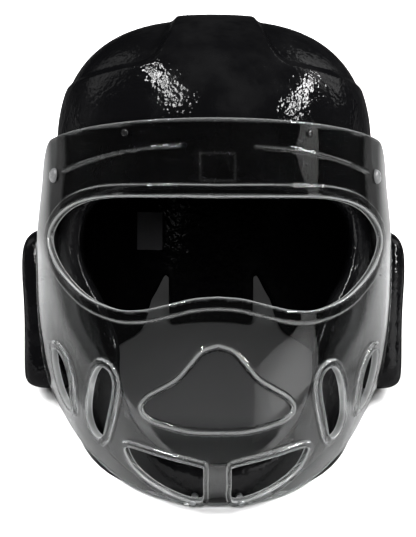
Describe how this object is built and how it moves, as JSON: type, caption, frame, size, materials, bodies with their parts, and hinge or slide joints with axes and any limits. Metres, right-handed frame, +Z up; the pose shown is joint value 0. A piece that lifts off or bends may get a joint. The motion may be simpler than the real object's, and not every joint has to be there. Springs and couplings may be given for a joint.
{
  "type": "head guard with clear face shield",
  "caption": "Full-face sparring head guard: hollow shell of glossy dipped foam with ear pods and a clear moulded face shield with an eye opening, breathing slots and chin vents.",
  "frame": {"origin": "middle of the footprint on the surface that the lower rim stands on", "axes": "+Z up, -Y the way the face looks, +X to the wearer's left"},
  "size_m": [0.244, 0.3146, 0.2345],
  "materials": {
    "dipped_foam": "glossy dipped vinyl skin over foam",
    "clear_shield": "clear polycarbonate, polished",
    "stud_plastic": "moulded, glossy",
    "screw_steel": "plain steel",
    "label_cloth": "plain woven patch, blank"
  },
  "bodies": {
    "root": {"foam_shell": "dipped_foam", "ear_pod_left": "dipped_foam", "ear_pod_right": "dipped_foam", "face_shield": "clear_shield", "temple_stud_left": "stud_plastic", "temple_stud_right": "stud_plastic", "chin_screw_left": "screw_steel", "chin_screw_right": "screw_steel", "inner_label": "label_cloth"}
  },
  "joints": []
}
